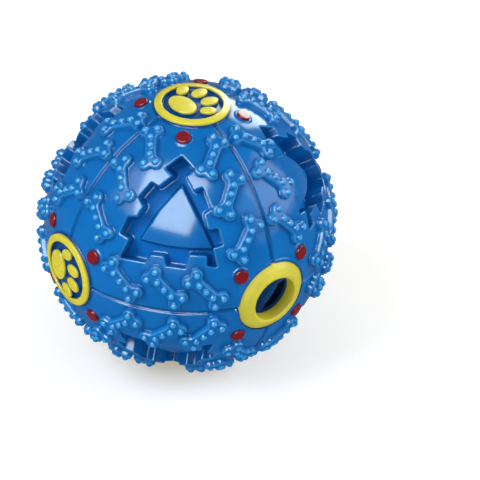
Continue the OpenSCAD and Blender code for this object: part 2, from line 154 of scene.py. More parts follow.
# How many points are tested against an outline at once, and the least angle of a sharp edge
BATCH = 4000
SHARP_ANGLE = math.radians(50)
Piece = namedtuple("Piece", "points faces")


def unit(a):
    return a / np.maximum(np.linalg.norm(a, axis=-1, keepdims=True), 1e-12)


def fillet(corners, steps=6):
    """A closed profile with its corners rounded. Each corner gives its place and its radius."""
    out = []
    for i, (x, y, r) in enumerate(corners):
        p = np.array((x, y))
        if not r:
            out.append(p)
            continue
        a = unit(np.array(corners[i - 1][:2]) - p)
        b = unit(np.array(corners[(i + 1) % len(corners)][:2]) - p)
        half = math.acos(np.clip(a @ b, -1, 1)) / 2
        centre = p + unit(a + b) * r / math.sin(half)
        start, end = (p + v * r / math.tan(half) - centre for v in (a, b))
        sweep = math.pi - 2 * half
        for t in np.linspace(0, 1, steps + 1):
            way = math.sin((1 - t) * sweep) * start + math.sin(t * sweep) * end
            out.append(centre + way / math.sin(sweep))
    return out


def smooth(t):
    t = np.clip(t, 0, 1)
    return t * t * (3 - 2 * t)


def dir_of(p):
    """Directions, in the octant's axes, of places given as arcs along the ball from the octant's middle."""
    r = np.maximum(np.hypot(p[:, 0], p[:, 1]), 1e-9)
    s = np.sin(r / BALL_R) / r
    return np.column_stack([p[:, 0] * s, p[:, 1] * s, np.cos(r / BALL_R)])


def arcs_of(d):
    """The opposite of dir_of."""
    d = unit(np.atleast_2d(np.asarray(d, float)))
    r = np.maximum(np.hypot(d[:, 0], d[:, 1]), 1e-12)
    return d[:, :2] * (np.arctan2(r, d[:, 2]) * BALL_R / r)[:, None]


def arcs_of_plan(q):
    """Arcs of points of the ball that lie over plan places, seen along the octant's middle line."""
    q = np.atleast_2d(q)
    return arcs_of(np.column_stack([q, np.sqrt(BALL_R**2 - (q**2).sum(1))]))


def turn_z(a):
    return np.array([[math.cos(a), -math.sin(a), 0], [math.sin(a), math.cos(a), 0], [0, 0, 1]])


def turn_y(a):
    return np.array([[math.cos(a), 0, math.sin(a)], [0, 1, 0], [-math.sin(a), 0, math.cos(a)]])


def bone_frame(x, y, turn):
    a = math.atan2(y, x)
    return turn_z(a) @ turn_y(math.hypot(x, y)) @ turn_z(math.radians(turn) - a)


BONE_FRAMES = [bone_frame(*b) for b in BONE_PLACE_SHARES]


def arc(centre, r, start, end):
    n = max(2, int(abs(end - start) * r / LINE_STEP))
    angles = np.linspace(start, end, n, False)
    return [(centre[0] + r * math.cos(t), centre[1] + r * math.sin(t)) for t in angles]


def bone_quarter():
    """A quarter of a bone's outline: half the shaft, its flare, one knob and half the notch at the end."""
    beside = SHAFT_HALF + FLARE_R
    flare = (KNOB_X - math.sqrt((FLARE_R + KNOB_R) ** 2 - (beside - KNOB_Y) ** 2), beside)
    notch = (KNOB_X + math.sqrt((NOTCH_R + KNOB_R) ** 2 - KNOB_Y**2), 0)
    to_flare = math.atan2(flare[1] - KNOB_Y, flare[0] - KNOB_X)
    to_notch = math.atan2(-KNOB_Y, notch[0] - KNOB_X)
    q = [(x, SHAFT_HALF) for x in np.arange(0, flare[0], LINE_STEP)]
    q += arc(flare, FLARE_R, -math.pi / 2, to_flare - math.pi)
    q += arc((KNOB_X, KNOB_Y), KNOB_R, to_flare, to_notch)
    q += arc(notch, NOTCH_R, to_notch + math.pi, math.pi)
    return np.array(q + [(notch[0] - NOTCH_R, 0)])


QUARTER = bone_quarter()


def bone_outline():
    """A bone's whole outline with the outward normals of its points."""
    right = np.vstack([QUARTER, QUARTER[::-1][1:] * [1, -1]])
    loop = np.vstack([right, right[::-1][1:-1] * [-1, 1]])
    t = np.roll(loop, -1, 0) - np.roll(loop, 1, 0)
    return loop, unit(np.column_stack([-t[:, 1], t[:, 0]]))


def to_segments(q, a, b):
    """Distance of each point to its nearest segment, and whether it lies to that segment's left."""
    ab = b - a
    t = np.clip(((q[:, None] - a) * ab).sum(2) / np.maximum((ab**2).sum(1), 1e-12), 0, 1)
    away = q[:, None] - (a + t[..., None] * ab)
    dist = np.hypot(away[..., 0], away[..., 1])
    i = dist.argmin(1)
    row = np.arange(len(q))
    left = ab[i, 0] * away[row, i, 1] - ab[i, 1] * away[row, i, 0]
    return dist[row, i], left > 0


def inside_by(polygon, q):
    """Distance of plan points to a polygon's edge, positive inside it."""
    if len(q) > BATCH:
        parts = np.array_split(q, len(q) // BATCH + 1)
        return np.concatenate([inside_by(polygon, part) for part in parts])
    a, b = polygon, np.roll(polygon, -1, 0)
    dist, _ = to_segments(q, a, b)
    x, y = q[:, 0, None], q[:, 1, None]
    spans = (a[:, 1] > y) != (b[:, 1] > y)
    with np.errstate(divide="ignore", invalid="ignore"):
        cross = a[:, 0] + (y - a[:, 1]) / (b[:, 1] - a[:, 1]) * (b[:, 0] - a[:, 0])
    inside = (spans & (x < cross)).sum(1) % 2 == 1
    return np.where(inside, dist, -dist)


def bone_profile(d):
    """Height of a bone at a distance inside its outline: a hollow foot, then a round shoulder."""
    over_foot = np.clip(d + BONE_FOOT, 0, BONE_FOOT)
    foot = BONE_FOOT - np.sqrt(np.clip(BONE_FOOT**2 - over_foot**2, 0, None))
    t = 1 - np.clip(d / BONE_ROUND, 0, 1)
    return np.where(d < 0, foot, BONE_FOOT + (BONE_H - BONE_FOOT) * np.sqrt(1 - t * t))


def soft_max(a, b, k):
    t = np.clip(0.5 + (b - a) / (2 * k), 0, 1)
    return a + (b - a) * t + k * t * (1 - t)


def bead_places():
    knobs = [(x * KNOB_X, y * KNOB_Y) for x in (-1, 1) for y in (-1, 1)]
    return knobs + [(i * BEAD_STEP, 0) for i in (-1, 0, 1)]


def bone_height(d):
    """Height of bones and beads over the ball, for directions in the octant's axes."""
    h = np.zeros(len(d))
    for f in BONE_FRAMES:
        local = d @ f
        near = np.flatnonzero(local[:, 2] > math.cos(BONE_REACH / BALL_R))
        if not len(near):
            continue
        p = arcs_of(local[near])
        dist, left = to_segments(np.abs(p), QUARTER[:-1], QUARTER[1:])
        plate = bone_profile(np.where(left, -dist, dist))
        for x, y in bead_places():
            rho2 = (p[:, 0] - x) ** 2 + (p[:, 1] - y) ** 2
            bead = BONE_H + BEAD_RISE - BEAD_R + np.sqrt(np.clip(BEAD_R**2 - rho2, 0, None))
            beaded = soft_max(plate, bead * (rho2 < BEAD_R**2), BEAD_BLEND)
            plate = np.where(rho2 < (BEAD_R + BEAD_BLEND) ** 2, beaded, plate)
        h[near] = np.maximum(h[near], plate)
    return h


def inside_bone(d):
    """Distance inside the nearest bone's outline along the ball, negative outside it."""
    best = np.full(len(d), -BONE_REACH)
    for f in BONE_FRAMES:
        local = d @ f
        near = np.flatnonzero(local[:, 2] > math.cos(BONE_REACH / BALL_R))
        if not len(near):
            continue
        dist, left = to_segments(np.abs(arcs_of(local[near])), QUARTER[:-1], QUARTER[1:])
        best[near] = np.maximum(best[near], np.where(left, -dist, dist))
    return best


def plane_gap(w):
    """Distance along the ball to the nearest groove's middle, for directions in the ball's axes."""
    return BALL_R * np.abs(w).min(1)


def off_axis(w, axis):
    """Distance from a line through the ball's centre."""
    along = w @ axis
    return BALL_R * np.sqrt(np.clip(1 - along**2, 0, None)) + np.where(along < 0, BALL_R, 0)


STUD_DIRS = unit(np.array([
    c * math.cos(STUD_ANGLE) + unit(OCTANT[2] - c * (OCTANT[2] @ c)) * math.sin(STUD_ANGLE)
    for c in CORNERS
]))


def step_profile(r, inner, outer, height):
    return height * smooth((outer - r) / (outer - inner))


def land_height(d, front):
    """Height of the whole relief over the ball, apart from the recesses."""
    w = d @ OCTANT
    gap = plane_gap(w)
    h = bone_height(d) * smooth((gap - BONE_CUT) / BONE_CUT_FADE)
    for s in STUD_DIRS:
        h = np.maximum(h, step_profile(off_axis(w, s), COLLAR_R, COLLAR_FOOT, COLLAR_H))
    for n, c in enumerate(CORNERS):
        r = off_axis(w, c)
        if front and n == 1:
            h = np.maximum(h, step_profile(r, LIP_R, LIP_FOOT, LIP_H))
        else:
            t = np.clip((r - RING_R) / FOOT_R, 0, 1)
            h = np.maximum(h, FOOT_R * (1 - np.sqrt(1 - (1 - t) ** 2)))
    h -= GROOVE_D * (1 - smooth((gap - GROOVE_FLAT) / GROOVE_SIDE))
    if front:
        h = np.where(off_axis(w, CORNERS[1]) < SEAT_R, -SEAT_D, h)
    return h


def band(x, low, peak, high):
    """A soft band that rises from low to its peak and falls to high."""
    return smooth((x - low) / (peak - low)) * smooth((high - x) / (high - peak))


def contact_shade(d, raised):
    """Painted shade where shadow would gather: round bones, beads, studs and rings, and in the grooves."""
    w = d @ OCTANT
    shade = BONE_SHADE_SHARE * band(inside_bone(d), *BONE_SHADE)
    shade = np.maximum(shade, BONE_SHADE_SHARE * band(raised, *BEAD_SHADE))
    in_groove = smooth((GROOVE_FLAT + 0.5 * GROOVE_SIDE - plane_gap(w)) / GROOVE_SHADE_FADE)
    shade = np.maximum(shade, GROOVE_SHADE_SHARE * in_groove)
    for s in STUD_DIRS:
        shade = np.maximum(shade, smooth((COLLAR_R + STUD_SHADE_W - off_axis(w, s)) / STUD_SHADE_FADE))
    for c in CORNERS:
        shade = np.maximum(shade, smooth((RING_R + RING_SHADE_W - off_axis(w, c)) / RING_SHADE_FADE))
    return shade


def in_octant(w, margin=0.0):
    """Whether directions in the ball's axes lie in the octant and outside its three round corner cuts."""
    inner = (w * [-1, -1, 1] > margin / BALL_R).all(1)
    return inner & np.all([off_axis(w, c) > CORNER_CUT + margin for c in CORNERS], 0)


def rounded_outline(shares, radius):
    """An outline in plan from shares of the ball's radius, anticlockwise, with round corners."""
    q = BALL_R * np.array(shares)
    x, y = q.T
    if (x * np.roll(y, -1) - y * np.roll(x, -1)).sum() < 0:
        q = q[::-1]
    return np.array(fillet([(*p, radius) for p in q], 5))


RECESS = rounded_outline(RECESS_SHARES, TOOTH_R)
PLATEAU = rounded_outline(PLATEAU_SHARES, PLATEAU_TOOTH_R)
BACKING = BALL_R * np.array(BACKING_SHARES)


def trench_depth_in(q):
    """How far plan points lie inside the trench between the recess's outline and its plateau."""
    return np.minimum(inside_by(RECESS, q), -inside_by(PLATEAU, q))


class Cloud:
    """Points of the octant's surface, as arcs.

    drop lowers a point of the land or plateau, and rise lifts one of the trench's floor.
    """

    def __init__(self):
        self.points, self.drop, self.rise, self.edges, self.cells = [], [], [], [], {}

    def free(self, p, gap):
        """Whether no point lies within a gap, which is at most a cell of 1 mm."""
        cx, cy = int(p[0] // 1), int(p[1] // 1)
        for i in (cx - 1, cx, cx + 1):
            for j in (cy - 1, cy, cy + 1):
                for k in self.cells.get((i, j), ()):
                    if (self.points[k][0] - p[0]) ** 2 + (self.points[k][1] - p[1]) ** 2 < gap * gap:
                        return False
        return True

    def add(self, points, keep=None, gap=0.02, drop=0.0, rise=None, line=True, closed=False):
        ids = []
        for n, p in enumerate(points):
            p = (float(p[0]), float(p[1]))
            if (keep is not None and not keep[n]) or not self.free(p, gap):
                ids.append(-1)
                continue
            ids.append(len(self.points))
            self.cells.setdefault((int(p[0] // 1), int(p[1] // 1)), []).append(len(self.points))
            self.points.append(p)
            self.drop.append(drop)
            self.rise.append(math.nan if rise is None else rise)
        if line:
            pairs = zip(ids, ids[1:] + ids[:1]) if closed else zip(ids, ids[1:])
            self.edges += [(a, b) for a, b in pairs if a >= 0 and b >= 0]


def groove_line(k, offset, step):
    """Directions along the octant's edge in the plane square to axis k, at an offset inside it."""
    i, j = [n for n in range(3) if n != k]
    first = math.asin(CORNER_CUT / BALL_R)
    t = np.linspace(first, math.pi / 2 - first, int((math.pi / 2 - 2 * first) * BALL_R / step))
    s = offset / BALL_R
    w = np.zeros((len(t), 3))
    w[:, k], w[:, i], w[:, j] = s, math.sqrt(1 - s * s) * np.cos(t), math.sqrt(1 - s * s) * np.sin(t)
    return w * [-1, -1, 1]


def circle_round(axis, side, r, step, sweep=2 * math.pi):
    """Directions on a circle of radius r round an axis through the ball's centre, from a side of it on."""
    n = max(6, int(abs(sweep) * r / step))
    t = np.linspace(0, sweep, n, endpoint=abs(sweep) < 6)
    side = unit(side - axis * (side @ axis))
    other = np.cross(axis, side)
    s, c = r / BALL_R, math.sqrt(1 - (r / BALL_R) ** 2)
    return axis * c + (side * np.cos(t)[:, None] + other * np.sin(t)[:, None]) * s


def boundary_loop():
    """The octant's outline: three groove middles and three corner cuts, as arcs in order."""
    parts = []
    for n in range(3):
        c, ahead, behind = CORNERS[n], CORNERS[(n + 1) % 3], CORNERS[(n + 2) % 3]
        sweep = math.copysign(math.pi / 2, np.cross(c, behind) @ ahead)
        turn = circle_round(c, behind, CORNER_CUT, LOOP_STEP, sweep)
        k = [m for m in range(3) if abs(c[m]) + abs(ahead[m]) == 0][0]
        edge = groove_line(k, 0.0, LOOP_STEP)
        if edge[0] @ c < edge[-1] @ c:
            edge = edge[::-1]
        parts += [turn[:-1], edge[:-1]]
    return arcs_of(np.vstack(parts) @ OCTANT.T)


def offset_line(polygon, d):
    """An outline moved to its left by d at even steps, and which points keep their full distance."""
    t = unit(np.roll(polygon, -1, 0) - polygon)
    n = np.column_stack([-t[:, 1], t[:, 0]])
    before = np.roll(n, 1, 0)
    q = polygon + d * (n + before) / (1 + (n * before).sum(1))[:, None]
    q = np.vstack([q, q[:1]])
    along = np.concatenate([[0], np.cumsum(np.hypot(*np.diff(q, axis=0).T))])
    count = int(along[-1] / LINE_STEP)
    at = np.arange(count) * along[-1] / count
    q = np.column_stack([np.interp(at, along, q[:, 0]), np.interp(at, along, q[:, 1])])
    return q, np.abs(trench_depth_in(q) - d) < OFFSET_SLACK


def add_trench_walls(cloud):
    """Lines along the walls: a round edge at the top, a drafted wall and a round foot on the floor."""
    for polygon, draft in ((RECESS, DRAFT), (PLATEAU[::-1], PLATEAU_DRAFT)):
        levels = [(-EDGE_R - GUARD, 0.0, None)]
        for a in QUARTER_ROWS:
            levels.append((EDGE_R * (math.sin(a) - 1), EDGE_R * (1 - math.cos(a)), None))
        for a in QUARTER_ROWS:
            levels.append((draft + EDGE_R * (1 - math.cos(a)), 0.0, EDGE_R * (1 - math.sin(a))))
        levels.append((draft + EDGE_R + GUARD, 0.0, 0.0))
        for d, drop, rise in levels:
            q, keep = offset_line(polygon, d)
            cloud.add(arcs_of_plan(q), keep=keep, gap=WALL_GAP, drop=drop, rise=rise, closed=True)


def land_only(p):
    """Whether arcs lie on the octant's land, clear of the recess and of the grooves."""
    d = dir_of(p)
    w = d @ OCTANT
    clear = trench_depth_in(BALL_R * d[:, :2]) < -EDGE_R - GUARD
    return in_octant(w) & clear & (plane_gap(w) > LAND_GAP)


def add_bones(cloud):
    loop, out = bone_outline()
    levels = [-BONE_FOOT - 3 * GUARD, -BONE_FOOT - GUARD]
    levels += [-BONE_FOOT * (1 - math.sin(a)) for a in QUARTER_ROWS]
    levels += [BONE_ROUND * (1 - math.cos(a)) for a in SHOULDER_ROWS]
    for f in BONE_FRAMES:
        for inset in levels:
            p = arcs_of(dir_of(loop - out * inset) @ f.T)
            cloud.add(p, keep=land_only(p), closed=True)


def add_beads(cloud):
    for f in BONE_FRAMES:
        for x, y in bead_places():
            for share in BEAD_ROWS:
                n = max(1, int(2 * math.pi * share * BEAD_R / BEAD_POINT_STEP))
                t = np.arange(n) * 2 * math.pi / n
                ring = np.column_stack([x + share * BEAD_R * np.cos(t), y + share * BEAD_R * np.sin(t)])
                p = arcs_of(dir_of(ring) @ f.T)
                cloud.add(p, keep=land_only(p), gap=BEAD_GAP, line=False)


def add_fill(cloud, step):
    """Points on a triangular grid over the land and the trench's floor."""
    gap = step * 0.5
    count = range(-int(BALL_R / step), int(BALL_R / step))
    grid = np.array([
        ((i + 0.5 * (j % 2)) * step, j * step * math.sqrt(0.75)) for i in count for j in count
    ])
    d = dir_of(grid)
    keep = in_octant(d @ OCTANT, gap)
    depth = trench_depth_in(BALL_R * d[:, :2])
    cloud.add(grid, keep=keep & (depth < -EDGE_R), gap=gap, line=False)
    cloud.add(grid, keep=keep & (depth > DRAFT + EDGE_R), gap=gap, rise=0.0, line=False)


def triangulate(points, edges):
    """Triangles of the octant among its points, with the lines kept. Crossing lines may add points."""
    out, _, faces, origin, _, _ = delaunay_2d_cdt([Vector(p) for p in points], edges, [], 0, 1e-6)
    out = np.array([tuple(v) for v in out])
    faces = np.array(faces)
    middle = dir_of(out[faces].mean(1)) @ OCTANT
    keep = in_octant(middle, -0.001)
    return out, faces[keep], [o[0] if o else -1 for o in origin]


def octant_surface():
    """The outer surface as arcs, drops, rises and triangles, with the boundary's points first."""
    cloud = Cloud()
    loop = boundary_loop()
    cloud.add(loop, closed=True)
    add_trench_walls(cloud)
    for k in range(3):
        for share in GROOVE_ROWS:
            w = groove_line(k, GROOVE_FLAT + share * GROOVE_SIDE, LOOP_STEP)[1:-1]
            cloud.add(arcs_of(w @ OCTANT.T), keep=in_octant(w, 0.1), gap=RING_GAP)
    add_bones(cloud)
    for s in STUD_DIRS:
        for share in COLLAR_ROWS:
            r = COLLAR_FOOT - share * (COLLAR_FOOT - COLLAR_R)
            ring = circle_round(s, OCTANT[2], r, LINE_STEP)
            cloud.add(arcs_of(ring @ OCTANT.T), gap=RING_GAP, closed=True)
    rings = [LIP_FOOT - share * (LIP_FOOT - LIP_R) for share in LIP_ROWS]
    rings += [SEAT_R + 0.01, SEAT_R - 0.02]
    rings += [RING_R + share * FOOT_R for share in FOOT_ROWS]
    for c in CORNERS:
        for r in rings:
            ring = circle_round(c, OCTANT[2], r, LINE_STEP)
            cloud.add(arcs_of(ring @ OCTANT.T), keep=in_octant(ring, RING_GAP), line=False)
    add_beads(cloud)
    add_fill(cloud, FILL_STEP)
    points, faces, origin = triangulate(cloud.points, cloud.edges)
    drop = np.array([cloud.drop[o] if o >= 0 else 0.0 for o in origin])
    rise = np.array([cloud.rise[o] if o >= 0 else math.nan for o in origin])
    new = np.flatnonzero(np.array(origin) < 0)
    if len(new):
        deep = trench_depth_in(BALL_R * dir_of(points[new])[:, :2]) > DRAFT
        rise[new[deep]] = 0.0
    return points, drop, rise, faces, len(loop)


def outer_places(points, drop, rise, front):
    """Places, in the octant's axes, of the surface's points on land, plateau, walls and floor."""
    d = dir_of(points)
    land = d * (BALL_R + land_height(d, front))[:, None]
    land[:, 2] -= drop
    plan = BALL_R * d[:, :2]

    def sunk(depth, lift):
        z = np.sqrt(np.clip((BALL_R - depth) ** 2 - (plan**2).sum(1), 1, None))
        return np.column_stack([plan, z + lift])

    on_plateau = inside_by(PLATEAU, plan) > -0.1
    top = np.where(on_plateau[:, None], sunk(PLATEAU_D, -drop), land)
    return np.where(np.isnan(rise)[:, None], top, sunk(RECESS_D, np.nan_to_num(rise)))


def inner_radius(d):
    """The wall's inner radius by direction: less behind the recess, but clear of the tube and the hole."""
    behind = smooth(inside_by(BACKING, BACKING_R * d[:, :2]) / BACKING_BLEND)
    for c in CORNERS:
        off = BACKING_R * np.sqrt(np.clip(1 - (d @ (OCTANT @ c)) ** 2, 0, 1))
        behind = behind * smooth((off - TUBE_ROOM_R) / BACKING_BLEND)
    return CAVITY_R + (BACKING_R - CAVITY_R) * behind


def inner_surface(loop):
    """The cavity's side of the wall, thickened behind the recess, with the boundary's points first."""
    cloud = Cloud()
    cloud.add(loop, closed=True)
    add_fill(cloud, INNER_STEP)
    points, faces, _ = triangulate(cloud.points, cloud.edges)
    d = dir_of(points)
    return d * inner_radius(d)[:, None], faces


def new_object(name, points, faces, material, attributes=None):
    """An object from points in millimetres and faces of any length."""
    mesh = bpy.data.meshes.new(name)
    places = [tuple(p) for p in np.asarray(points) * MM]
    mesh.from_pydata(places, [], [tuple(int(i) for i in f) for f in faces])
    mesh.validate()
    for key, values in (attributes or {}).items():
        data = mesh.attributes.new(key, "FLOAT", "POINT").data
        data.foreach_set("value", np.asarray(values, np.float32))
    mesh.polygons.foreach_set("use_smooth", [True] * len(mesh.polygons))
    mesh.set_sharp_from_angle(angle=SHARP_ANGLE)
    mesh.materials.append(material)
    mesh.update()
    obj = bpy.data.objects.new(name, mesh)
    bpy.context.scene.collection.objects.link(obj)
    return obj


def dress(obj, slot, *nodes):
    """Makes a piece ride on the ball in place of CAD nodes. The material slot it is given is not used."""
    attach(obj, "ball")
    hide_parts(*nodes)


def shells(material, floor_material, shaded_inner_material):
    """The two halves' moulded skin in eight mirrored octants, each a closed piece of the wall."""
    points, drop, rise, faces, rim = octant_surface()
    inner, inner_faces = inner_surface(points[:rim])
    n = len(points)
    ring = np.arange(rim)
    after = np.roll(ring, -1)
    sides = np.column_stack([ring, ring + n, after + n, after])
    centre = dir_of(points[:rim]).mean(0)
    a, b = dir_of(points[:2])
    if np.cross(a, b) @ centre < 0:
        sides = sides[:, ::-1]
    d = dir_of(points)
    height = bone_height(d)
    on_land = np.isnan(rise)
    # Painted highlight: the beads' tops are made lighter by this share
    raised = np.clip((height - BONE_H) / BEAD_RISE, 0, 1) * on_land
    # Painted highlight along the bones' shoulders and the recess's rounded rims
    edge = band(inside_bone(d), *BONE_LIGHT) * (raised < 0.05)
    edge = np.maximum(edge, band(drop / EDGE_R, *RIM_LIGHT)) * on_land
    zero = np.zeros(len(inner))
    attributes = {
        "bead": np.concatenate([raised, zero]), "edge": np.concatenate([edge, zero]),
        # Painted shade on the recess's walls, round raised parts and in the grooves
        "trench": np.concatenate([np.where(on_land, smooth(drop / EDGE_R - 0.4), 1.0), zero]),
        "contact": np.concatenate([contact_shade(d, raised) * on_land, zero]),
    }
    dull = np.flatnonzero((rise == 0)[faces].all(1))
    for end, sy, node in (("front", 1, "front_shell"), ("rear", -1, "rear_shell")):
        outer = outer_places(points, drop, rise, end == "front")
        wall = np.vstack([outer, inner]) @ OCTANT
        for hand, sx in (("left", 1), ("right", -1)):
            for level, sz in (("upper", 1), ("lower", -1)):
                flip = sx * sy * sz < 0
                tri = [f[::-1] if flip else f for f in faces]
                tri += [f + n if flip else f[::-1] + n for f in inner_faces]
                tri += [f[::-1] if flip else f for f in sides]
                name = f"{end}_{hand}_{level}_skin"
                skin = new_object(name, wall * [sx, sy, sz], tri, material, attributes)
                skin.data.materials.append(floor_material)
                skin.data.materials.append(shaded_inner_material)
                # The trench's floor takes the matte blue, and the cavity's side the darker blue painted as
                # shade
                index = np.zeros(len(tri), np.int32)
                index[dull] = 1
                index[len(faces):len(faces) + len(inner_faces)] = 2
                skin.data.polygons.foreach_set("material_index", index)
                dress(skin, "ball_vinyl", node)


# Turns of a badge's own axes into the ball's: along the paw, across it, and outwards
PLACES = {
    "top": ((1, 0, 0), (0, 1, 0), (0, 0, 1)),
    "bottom": ((1, 0, 0), (0, -1, 0), (0, 0, -1)),
    "left": ((0, -1, 0), (0, 0, 1), (-1, 0, 0)),
    "right": ((0, -1, 0), (0, 0, -1), (1, 0, 0)),
    "rear": ((1, 0, 0), (0, 0, -1), (0, 1, 0)),
    "front": ((1, 0, 0), (0, 0, 1), (0, -1, 0)),
}


def lathe(profile, sides=128, first=0.0, sweep=2 * math.pi):
    """A solid turned round Z from a closed profile, given anticlockwise with the radius to the right."""
    whole = sweep > 6.2
    angles = np.linspace(first, first + sweep, sides, endpoint=not whole)
    points, rows = [], []
    for r, z in profile:
        if r < 1e-6:
            rows.append([len(points)] * sides)
            points.append((0, 0, z))
        else:
            rows.append(list(range(len(points), len(points) + sides)))
            points += [(r * math.cos(a), r * math.sin(a), z) for a in angles]
    faces = []
    for a, b in zip(rows, rows[1:] + rows[:1]):
        for i in range(sides if whole else sides - 1):
            j = (i + 1) % sides
            face = list(dict.fromkeys((a[i], a[j], b[j], b[i])))
            if len(face) > 2:
                faces.append(face)
    if not whole:
        faces += [[r[0] for r in rows], [r[-1] for r in rows][::-1]]
    return Piece(np.array(points, float), faces)


def stack(loops):
    """A closed solid from level loops of equal count, from the bottom up, with a middle point on top."""
    n = len(loops[0])
    points = [p for loop in loops for p in loop]
    faces = [list(range(n))[::-1]]
    for k in range(len(loops) - 1):
        low, high = k * n, (k + 1) * n
        faces += [[low + i, low + (i + 1) % n, high + (i + 1) % n, high + i] for i in range(n)]
    points.append(np.mean(loops[-1], 0))
    last = (len(loops) - 1) * n
    faces += [[last + i, last + (i + 1) % n, len(points) - 1] for i in range(n)]
    return Piece(np.array(points, float), faces)


def oval_pad(place, low, high, edge, crown, steps=72):
    """One pad of a paw: an oval prism with a round edge and a slightly crowned top."""
    x, y, a, b = (v * RING_R for v in place[:4])
    turn = math.radians(place[4])
    t = np.arange(steps) * 2 * math.pi / steps
    oval = np.column_stack([a * np.cos(t), b * np.sin(t)])
    out = unit(np.column_stack([b * np.cos(t), a * np.sin(t)]))
    levels = [(0, low), (0, high - edge)]
    for v in PAD_EDGE_ROWS:
        levels.append((edge * (1 - math.cos(v)), high - edge + edge * math.sin(v)))
    loops = []
    for inset, z in levels:
        loops.append(np.column_stack([oval - out * inset, np.full(steps, z)]))
    top = oval - out * edge
    for share in PAD_CROWN_ROWS:
        loops.append(np.column_stack([top * share, np.full(steps, high + crown * (1 - share**2))]))
    c, n = math.cos(turn), math.sin(turn)
    return stack([loop @ [[c, n, 0], [-n, c, 0], [0, 0, 1]] + [x, y, 0] for loop in loops])


def join(pieces):
    points, faces, n = [], [], 0
    for p in pieces:
        points.append(p.points)
        faces += [[i + n for i in f] for f in p.faces]
        n += len(p.points)
    return Piece(np.vstack(points), faces)


def turned_to(place, piece):
    return Piece(piece.points @ np.array(PLACES[place], float), piece.faces)


def sphere_arc(radius, r_from, r_to, steps=8):
    return [(r, math.sqrt(radius**2 - r * r)) for r in np.linspace(r_from, r_to, steps)]


RING_IN = RING_R - RING_W
RING_IN_Z = math.sqrt(RING_TOP_R**2 - RING_IN**2)
RING_OUT_Z = math.sqrt(RING_TOP_R**2 - RING_R**2)


def badge_base():
    """The moulded floor of a badge, domed with the ball, with its rib and the bosses under the paw."""
    floor = [(r, z, 0) for r, z in sphere_arc(FLOOR_R, 0, RING_IN - 1)]
    wall = fillet(floor + [
        (RING_IN, math.sqrt(FLOOR_R**2 - RING_IN**2), FLOOR_EDGE), (RING_IN, RING_IN_Z - RING_T, SHARP_EDGE),
        (RING_R, RING_OUT_Z - RING_T, SHARP_EDGE), (RING_R, BASE_RIM_Z, 0), (BASE_NECK_R, BASE_NECK_Z, 0),
        (BASE_EDGE_R, math.sqrt(BASE_IN_R**2 - BASE_EDGE_R**2), 0),
    ])
    body = lathe((wall + sphere_arc(BASE_IN_R, BASE_DOME_R, 0))[::-1])
    return join([body] + [oval_pad(p, BASE_IN_R + 1, BOSS_Z, SHARP_EDGE, 0) for p in PAW_SHARES])


def badge_ring():
    crown = (RING_IN_Z + RING_OUT_Z) / 2 + RING_CROWN
    profile = [
        (RING_IN, RING_IN_Z - RING_T, 0), (RING_R, RING_OUT_Z - RING_T, 0), (RING_R, RING_OUT_Z, INLAY_EDGE),
        ((RING_IN + RING_R) / 2, crown, RING_CROWN_ROUND), (RING_IN, RING_IN_Z, INLAY_EDGE),
    ]
    return lathe(fillet(profile), 192)


def badges():
    for place in ("top", "bottom", "left", "right", "rear"):
        halves = ("rear_shell",) if place == "rear" else ("front_shell", "rear_shell")
        base = turned_to(place, badge_base())
        # The badge's floor takes the darker blue painted as shade
        dress(new_object(f"{place}_badge_base", *base, SHADED_BADGE_BLUE), "ball_vinyl", *halves)
        ring = turned_to(place, badge_ring())
        dress(new_object(f"{place}_badge_band", *ring, YELLOW), "badge_vinyl", f"{place}_badge_ring")
        pads = [oval_pad(p, BOSS_Z, PAW_Z, INLAY_EDGE, PAW_CROWN) for p in PAW_SHARES]
        paw = turned_to(place, join(pads))
        dress(new_object(f"{place}_badge_pads", *paw, YELLOW), "badge_vinyl", f"{place}_badge_paw")


def grommet():
    """The ring round the treat hole, and the shell's sleeve behind it."""
    profile = fillet([
        (THROAT_R, BARREL_Z, BARREL_EDGE), (BARREL_R, BARREL_Z, BARREL_EDGE),
        (BARREL_R, FLANGE_Z, 0), (FLANGE_R, FLANGE_Z, 0), (FLANGE_R, FLANGE_EDGE_Z, FLANGE_EDGE),
        (CONE_R, CONE_Z, CONE_ROUND), (CROWN_R, CROWN_Z, CROWN_ROUND), (THROAT_R, MOUTH_Z, MOUTH_ROUND),
    ])
    body = turned_to("front", lathe(profile, 192))
    dress(new_object("throat_ring", *body, GROMMET), "grommet_vinyl", "throat_grommet")
    seat = turned_to("front", lathe(fillet([
        (THROAT_R + SLEEVE_GAP, SLEEVE_Z, SLEEVE_EDGE), (SEAT_NECK_R, SLEEVE_Z - 1, 0),
        (SEAT_WIDE_R, FLANGE_Z, 0), (BARREL_R + SEAT_GAP, FLANGE_Z, 0),
        (BARREL_R + SEAT_GAP, BARREL_Z - SEAT_GAP, 0), (THROAT_R + SLEEVE_GAP, BARREL_Z - SEAT_GAP, 0.1),
    ])))
    dress(new_object("throat_seat", *seat, SHADED_INNER_BLUE), "ball_vinyl", "front_shell")


def studs():
    """The twelve studs of each half, as one piece a half."""
    root, top = BALL_R - STUD_ROOT, BALL_R + STUD_TOP
    profile = fillet([
        (0, root, 0), (STUD_R, root, 0), (STUD_R, top, STUD_EDGE),
        (STUD_R * STUD_CROWN_SHARE, top + STUD_CROWN_SIDE, 0), (0, top + STUD_CROWN, 0),
    ])
    stud = lathe(profile, 48)
    for end, sy in (("front", 1), ("rear", -1)):
        islands = []
        for s in STUD_DIRS:
            for sx in (1, -1):
                for sz in (1, -1):
                    out = s * [sx, sy, sz]
                    side = unit(np.cross(out, (0.3, 0.5, 0.8)))
                    axes = np.array([side, np.cross(out, side), out])
                    islands.append(Piece(stud.points @ axes, stud.faces))
        dress(new_object(f"{end}_stud_domes", *join(islands), RED), "stud_vinyl", f"{end}_studs")


